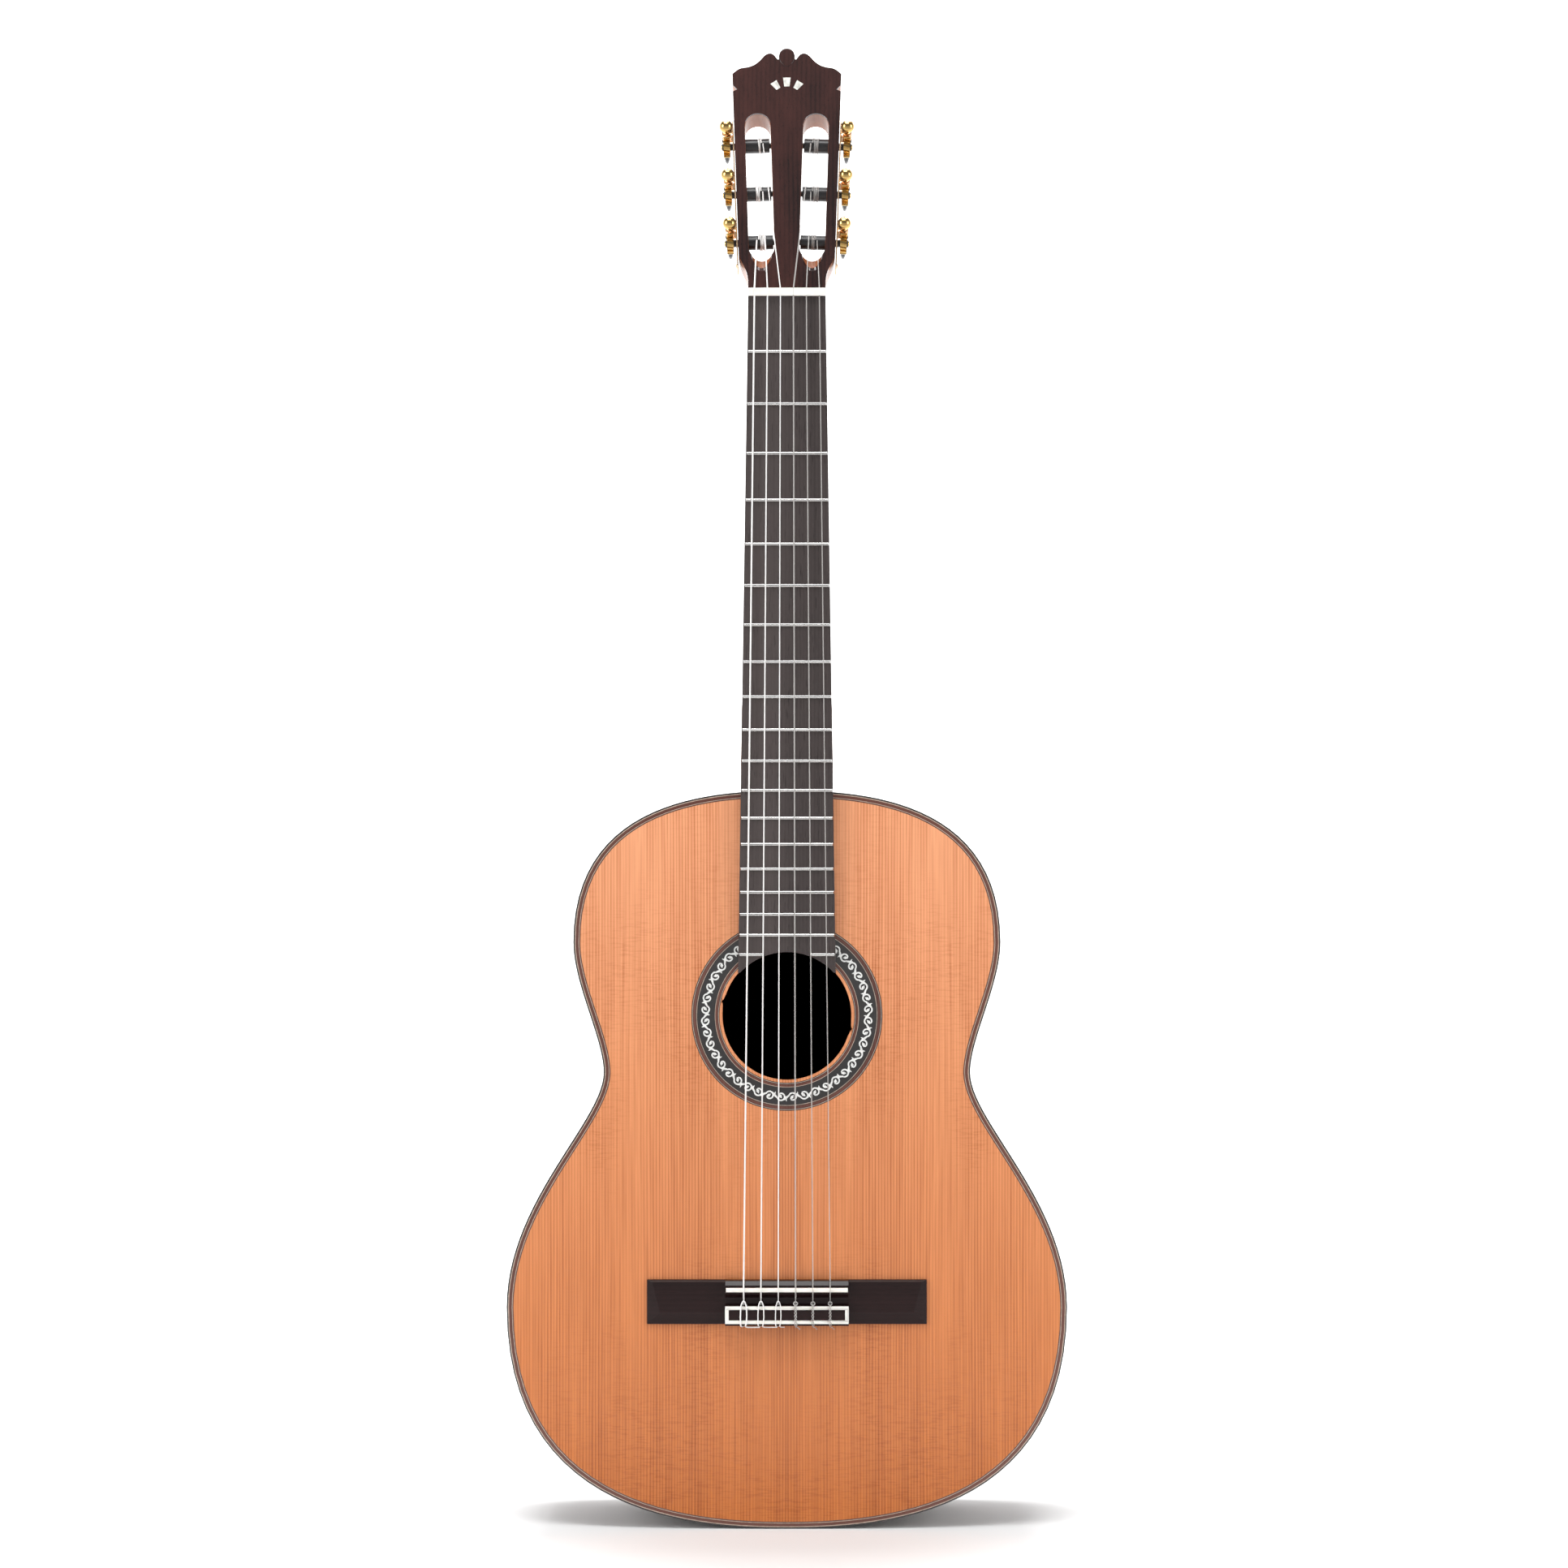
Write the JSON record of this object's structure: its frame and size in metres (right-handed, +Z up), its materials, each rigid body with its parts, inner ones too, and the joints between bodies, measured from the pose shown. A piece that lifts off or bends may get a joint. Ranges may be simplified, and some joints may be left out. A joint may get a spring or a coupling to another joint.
{
  "type": "classical guitar",
  "caption": "Nylon-string classical guitar: cedar top, dark rosewood body, slotted head with worm-geared tuners whose knobs turn the string rollers, tie bridge.",
  "frame": {"origin": "under the tail, at the bottom of the body, centred across the width and the depth of the whole instrument", "axes": "+Z up the neck, +X towards the treble side, +Y towards the back; the strings face -Y"},
  "size_m": [0.37, 0.1096, 0.986],
  "materials": {
    "cedar_top": "cedar soundboard under clear gloss lacquer",
    "rosette": "black ground with pale scroll inlay between brown rings, gloss lacquer",
    "rosewood": "dark rosewood back and sides, gloss lacquer",
    "binding": "rosewood binding with thin pale and dark lines, gloss",
    "lining": "bare kerfed lining",
    "spruce": "bare spruce bars and braces",
    "neck_wood": "reddish brown mahogany, satin lacquer",
    "head_veneer": "dark rosewood veneer, gloss",
    "fingerboard": "dark grey-brown rosewood, unlacquered, oiled, with nickel silver frets",
    "bone": "ivory-white bone, polished",
    "bridge_wood": "dark rosewood, polished",
    "gold_plate": "gold-plated brass, polished",
    "gear_brass": "brass gear, gold plated",
    "roller": "black plastic string roller",
    "black_button": "black moulded button",
    "nylon": "translucent nylon treble strings",
    "wound_string": "silver-plated copper wound on a nylon core"
  },
  "bodies": {
    "body": {"soundboard": "cedar_top", "rosette": "rosette", "back": "rosewood", "rib_bass": "rosewood", "rib_treble": "rosewood", "top_binding": "binding", "back_binding": "binding", "top_lining": "lining", "back_lining": "lining", "tail_block": "neck_wood", "upper_harmonic_bar": "spruce", "lower_harmonic_bar": "spruce", "upper_back_brace": "spruce", "middle_back_brace": "spruce", "lower_back_brace": "spruce", "fan_brace_1": "spruce", "fan_brace_2": "spruce", "fan_brace_3": "spruce", "fan_brace_4": "spruce", "fan_brace_5": "spruce", "neck": "neck_wood", "heel_cap": "rosewood", "head_veneer": "head_veneer", "fretboard": "fingerboard", "nut": "bone", "saddle": "bone", "bridge": "bridge_wood", "tie_block_inlay": "bone", "machine_plate_bass": "gold_plate", "machine_plate_treble": "gold_plate", "string_1": "nylon", "string_2": "nylon", "string_3": "nylon", "string_4": "wound_string", "string_5": "wound_string", "string_6": "wound_string"},
    "knob_1": {"worm_shaft_1": "gold_plate", "button_1": "black_button"},
    "spool_1": {"roller_1": "roller", "gear_1": "gear_brass"},
    "knob_2": {"worm_shaft_2": "gold_plate", "button_2": "black_button"},
    "spool_2": {"roller_2": "roller", "gear_2": "gear_brass"},
    "knob_3": {"worm_shaft_3": "gold_plate", "button_3": "black_button"},
    "spool_3": {"roller_3": "roller", "gear_3": "gear_brass"},
    "knob_4": {"worm_shaft_4": "gold_plate", "button_4": "black_button"},
    "spool_4": {"roller_4": "roller", "gear_4": "gear_brass"},
    "knob_5": {"worm_shaft_5": "gold_plate", "button_5": "black_button"},
    "spool_5": {"roller_5": "roller", "gear_5": "gear_brass"},
    "knob_6": {"worm_shaft_6": "gold_plate", "button_6": "black_button"},
    "spool_6": {"roller_6": "roller", "gear_6": "gear_brass"}
  },
  "joints": [
    {"name": "knob_1_turn", "type": "hinge", "parent": "body", "child": "knob_1", "pos_m": [0.03798, -0.02948, 0.86133], "axis": [0, -0.9659, 0.2588], "continuous": true},
    {"name": "spool_1_turn", "type": "hinge", "parent": "body", "child": "spool_1", "pos_m": [0.03235, -0.0236, 0.85044], "axis": [0.9993, -0.0095, -0.0354], "continuous": true},
    {"name": "knob_2_turn", "type": "hinge", "parent": "body", "child": "knob_2", "pos_m": [0.03927, -0.02043, 0.89511], "axis": [0, -0.9659, 0.2588], "continuous": true},
    {"name": "spool_2_turn", "type": "hinge", "parent": "body", "child": "spool_2", "pos_m": [0.03363, -0.01455, 0.88422], "axis": [0.9993, -0.0095, -0.0354], "continuous": true},
    {"name": "knob_3_turn", "type": "hinge", "parent": "body", "child": "knob_3", "pos_m": [0.04055, -0.01137, 0.9289], "axis": [0, -0.9659, 0.2588], "continuous": true},
    {"name": "spool_3_turn", "type": "hinge", "parent": "body", "child": "spool_3", "pos_m": [0.03492, -0.00549, 0.91801], "axis": [0.9993, -0.0095, -0.0354], "continuous": true},
    {"name": "knob_4_turn", "type": "hinge", "parent": "body", "child": "knob_4", "pos_m": [-0.04055, -0.01137, 0.9289], "axis": [0, -0.9659, 0.2588], "continuous": true},
    {"name": "spool_4_turn", "type": "hinge", "parent": "body", "child": "spool_4", "pos_m": [-0.03492, -0.00549, 0.91801], "axis": [0.9993, 0.0095, 0.0354], "continuous": true},
    {"name": "knob_5_turn", "type": "hinge", "parent": "body", "child": "knob_5", "pos_m": [-0.03927, -0.02043, 0.89511], "axis": [0, -0.9659, 0.2588], "continuous": true},
    {"name": "spool_5_turn", "type": "hinge", "parent": "body", "child": "spool_5", "pos_m": [-0.03363, -0.01455, 0.88422], "axis": [0.9993, 0.0095, 0.0354], "continuous": true},
    {"name": "knob_6_turn", "type": "hinge", "parent": "body", "child": "knob_6", "pos_m": [-0.03798, -0.02948, 0.86133], "axis": [0, -0.9659, 0.2588], "continuous": true},
    {"name": "spool_6_turn", "type": "hinge", "parent": "body", "child": "spool_6", "pos_m": [-0.03235, -0.0236, 0.85044], "axis": [0.9993, 0.0095, 0.0354], "continuous": true}
  ],
  "couplings": [
    {"joint": "spool_1_turn", "follows": "knob_1_turn", "ratio": -0.071429},
    {"joint": "spool_2_turn", "follows": "knob_2_turn", "ratio": -0.071429},
    {"joint": "spool_3_turn", "follows": "knob_3_turn", "ratio": -0.071429},
    {"joint": "spool_4_turn", "follows": "knob_4_turn", "ratio": -0.071429},
    {"joint": "spool_5_turn", "follows": "knob_5_turn", "ratio": -0.071429},
    {"joint": "spool_6_turn", "follows": "knob_6_turn", "ratio": -0.071429}
  ]
}
